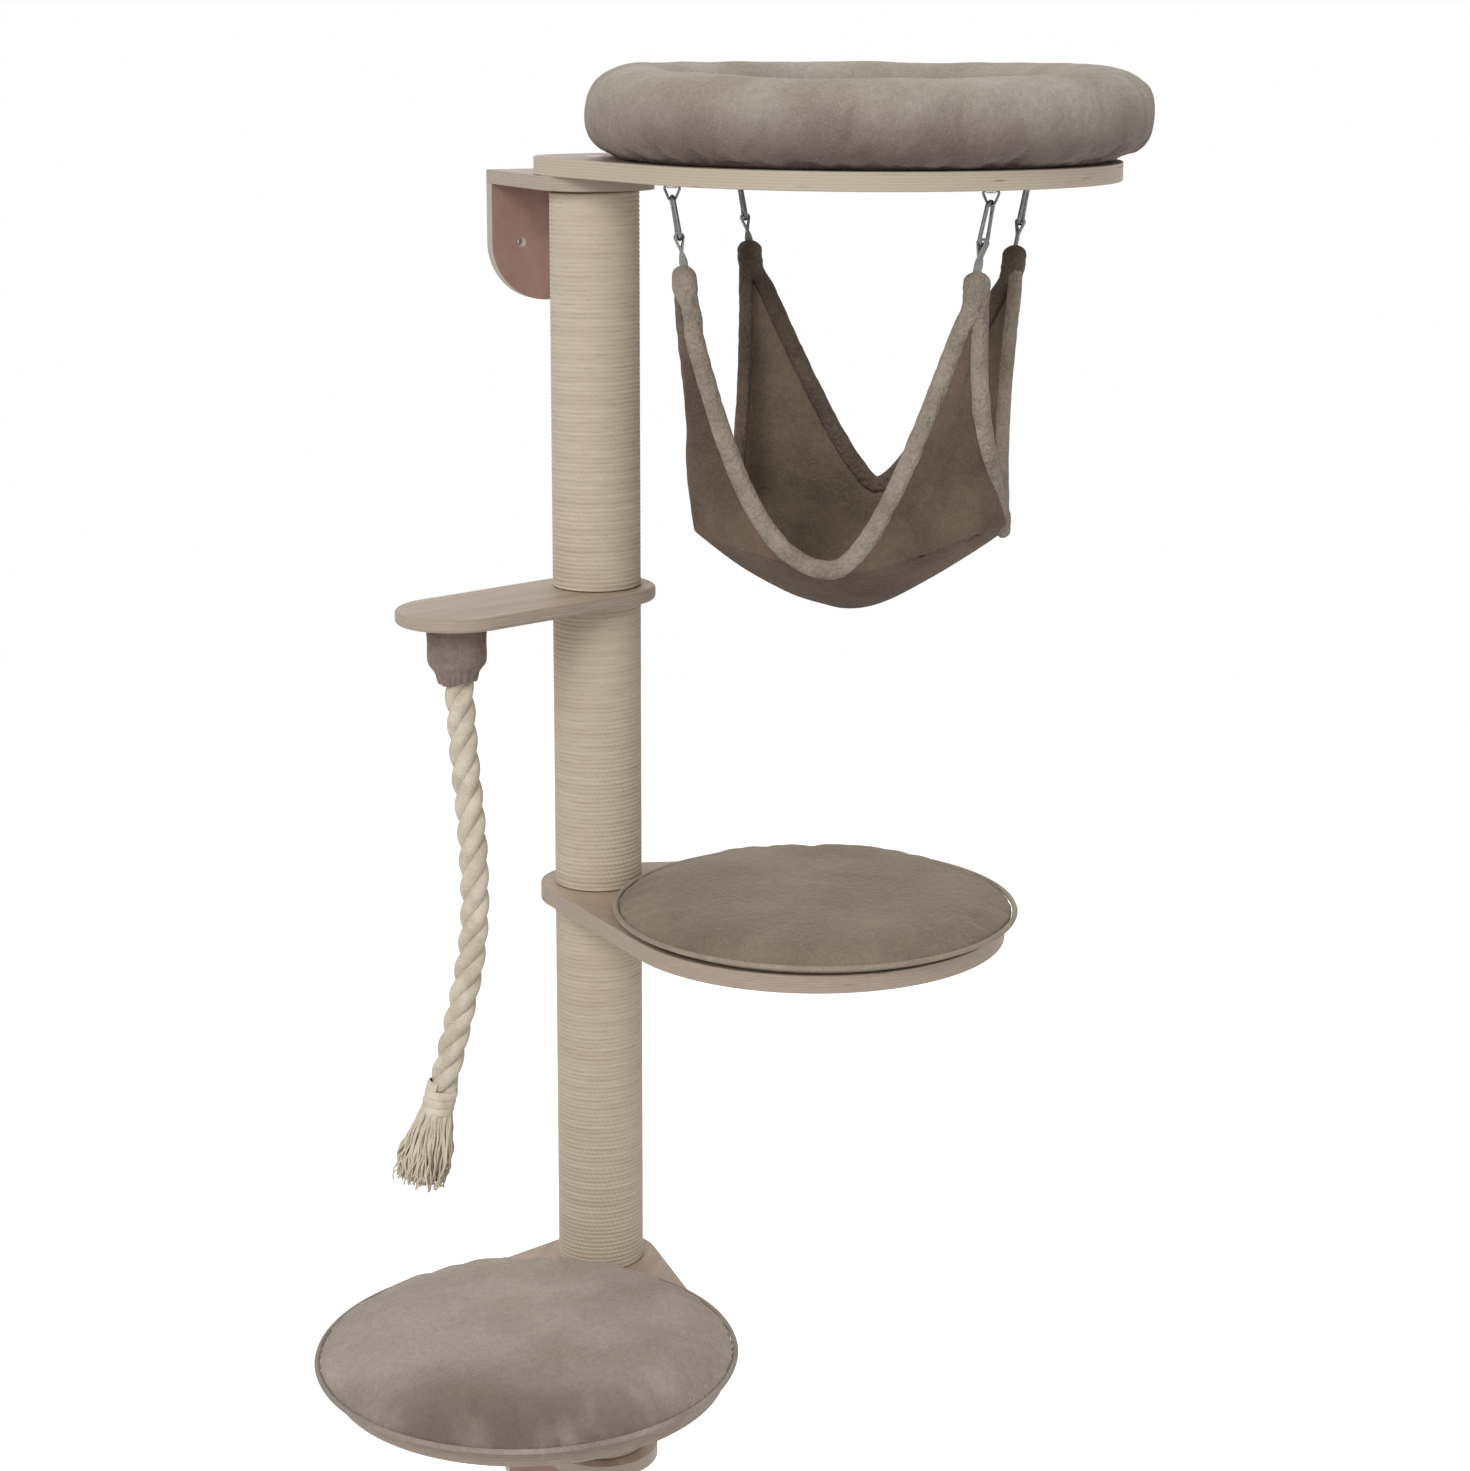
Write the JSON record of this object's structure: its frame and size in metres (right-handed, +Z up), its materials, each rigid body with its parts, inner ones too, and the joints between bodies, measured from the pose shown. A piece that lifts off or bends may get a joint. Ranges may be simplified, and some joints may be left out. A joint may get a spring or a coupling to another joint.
{
  "type": "wall mounted cat tree",
  "caption": "Wall mounted cat tree: a sisal post on wall brackets with plywood boards, a round bed, cushions, a hanging hammock and a rope toy.",
  "frame": {"origin": "midway between the two screw holes of the upper wall bracket, on the wall", "axes": "+X to the right along the wall, +Y into the wall, +Z up"},
  "size_m": [0.8682, 0.5787, 1.6113],
  "materials": {
    "bracket_ply": "sealed birch plywood, pale edges",
    "board_ply": "sealed birch plywood, pale edges",
    "sisal": "tightly wound sisal rope",
    "post_board": "wound kraft board tube",
    "plug_wood": "turned softwood",
    "zinc_steel": "zinc plated steel",
    "hook_steel": "nickel plated steel wire, dull",
    "bed_plush": "short pile plush",
    "cushion_plush": "short pile plush",
    "hammock_plush": "short pile plush, two layers",
    "webbing": "woven polyester webbing",
    "anchor_plush": "short pile plush",
    "cotton_rope": "three-strand cotton rope"
  },
  "bodies": {
    "root": {"upper_wall_plate": "bracket_ply", "upper_bracket_plate": "bracket_ply", "lower_wall_plate": "bracket_ply", "lower_bracket_plate": "bracket_ply", "bracket_screws": "zinc_steel", "threaded_inserts": "zinc_steel", "joining_studs": "zinc_steel", "clamp_bolts": "zinc_steel", "top_board": "board_ply", "step_shelf": "board_ply", "middle_board": "board_ply", "bottom_board": "board_ply", "hanger_straps": "zinc_steel", "hanger_screws": "zinc_steel", "rope_anchor": "plug_wood", "anchor_dowel": "plug_wood", "anchor_cover": "anchor_plush", "rope": "cotton_rope", "rope_whipping": "cotton_rope", "rope_tassel": "cotton_rope", "post_1_core": "post_board", "post_1_sisal": "sisal", "post_1_plugs": "plug_wood", "post_2_core": "post_board", "post_2_sisal": "sisal", "post_2_plugs": "plug_wood", "post_3_core": "post_board", "post_3_sisal": "sisal", "post_3_plugs": "plug_wood", "post_4_core": "post_board", "post_4_sisal": "sisal", "post_4_plugs": "plug_wood"},
    "link_front_left": {"ring_front_left": "hook_steel", "hook_front_left": "hook_steel"},
    "gate_body_front_left": {"gate_front_left": "hook_steel"},
    "link_back_left": {"ring_back_left": "hook_steel", "hook_back_left": "hook_steel"},
    "gate_body_back_left": {"gate_back_left": "hook_steel"},
    "link_front_right": {"ring_front_right": "hook_steel", "hook_front_right": "hook_steel"},
    "gate_body_front_right": {"gate_front_right": "hook_steel"},
    "link_back_right": {"ring_back_right": "hook_steel", "hook_back_right": "hook_steel"},
    "gate_body_back_right": {"gate_back_right": "hook_steel"},
    "hammock": {"hammock_cloth": "hammock_plush", "hammock_loops": "webbing"},
    "bed": {"bed_bolster": "bed_plush", "bed_base": "bed_plush"},
    "middle_cushion_pad": {"middle_cushion": "cushion_plush"},
    "bottom_cushion_pad": {"bottom_cushion": "cushion_plush"}
  },
  "joints": [
    {"name": "swing_front_left", "type": "hinge", "parent": "root", "child": "link_front_left", "pos_m": [-0.00093, -0.31645, 0.07165], "axis": [0.7771, -0.6293, 0], "range_deg": [-15, 15]},
    {"name": "gate_open_front_left", "type": "hinge", "parent": "link_front_left", "child": "gate_body_front_left", "pos_m": [0.002, -0.31246, 0.05081], "axis": [-0.9551, 0.2501, -0.1586], "range_deg": [0, 15], "stiffness_Nm_per_rad": 0.01, "springref_deg": -17.19},
    {"name": "swing_back_left", "type": "hinge", "parent": "root", "child": "link_back_left", "pos_m": [0.18787, -0.08331, 0.07165], "axis": [0.7771, -0.6293, 0], "range_deg": [-15, 15]},
    {"name": "gate_open_back_left", "type": "hinge", "parent": "link_back_left", "child": "gate_body_back_left", "pos_m": [0.1908, -0.07931, 0.05081], "axis": [-0.9551, 0.2501, -0.1586], "range_deg": [0, 15], "stiffness_Nm_per_rad": 0.01, "springref_deg": -17.19},
    {"name": "swing_front_right", "type": "hinge", "parent": "root", "child": "link_front_right", "pos_m": [0.23222, -0.50525, 0.07165], "axis": [0.7771, -0.6293, 0], "range_deg": [-15, 15]},
    {"name": "gate_open_front_right", "type": "hinge", "parent": "link_front_right", "child": "gate_body_front_right", "pos_m": [0.23551, -0.50155, 0.05081], "axis": [-0.4432, 0.8823, 0.1586], "range_deg": [0, 15], "stiffness_Nm_per_rad": 0.01, "springref_deg": -17.19},
    {"name": "swing_back_right", "type": "hinge", "parent": "root", "child": "link_back_right", "pos_m": [0.42101, -0.2721, 0.07165], "axis": [0.7771, -0.6293, 0], "range_deg": [-15, 15]},
    {"name": "gate_open_back_right", "type": "hinge", "parent": "link_back_right", "child": "gate_body_back_right", "pos_m": [0.42359, -0.26732, 0.05103], "axis": [-0.6444, 0.7453, 0.171], "range_deg": [0, 15], "stiffness_Nm_per_rad": 0.01, "springref_deg": -17.19},
    {"name": "hammock_level", "type": "hinge", "parent": "link_front_left", "child": "hammock", "pos_m": [0.00359, -0.32011, 0.02916], "axis": [0.7771, -0.6293, 0], "range_deg": [-15, 15]},
    {"name": "lift_bed", "type": "slide", "parent": "root", "child": "bed", "axis": [0, 0, 1], "range_m": [0, 0.15]},
    {"name": "lift_middle_cushion", "type": "slide", "parent": "root", "child": "middle_cushion_pad", "axis": [0, 0, 1], "range_m": [0, 0.1]},
    {"name": "lift_bottom_cushion", "type": "slide", "parent": "root", "child": "bottom_cushion_pad", "axis": [0, 0, 1], "range_m": [0, 0.06]}
  ],
  "couplings": [
    {"joint": "swing_back_left", "follows": "swing_front_left", "ratio": 1},
    {"joint": "swing_front_right", "follows": "swing_front_left", "ratio": 1},
    {"joint": "swing_back_right", "follows": "swing_front_left", "ratio": 1},
    {"joint": "hammock_level", "follows": "swing_front_left", "ratio": -1}
  ]
}
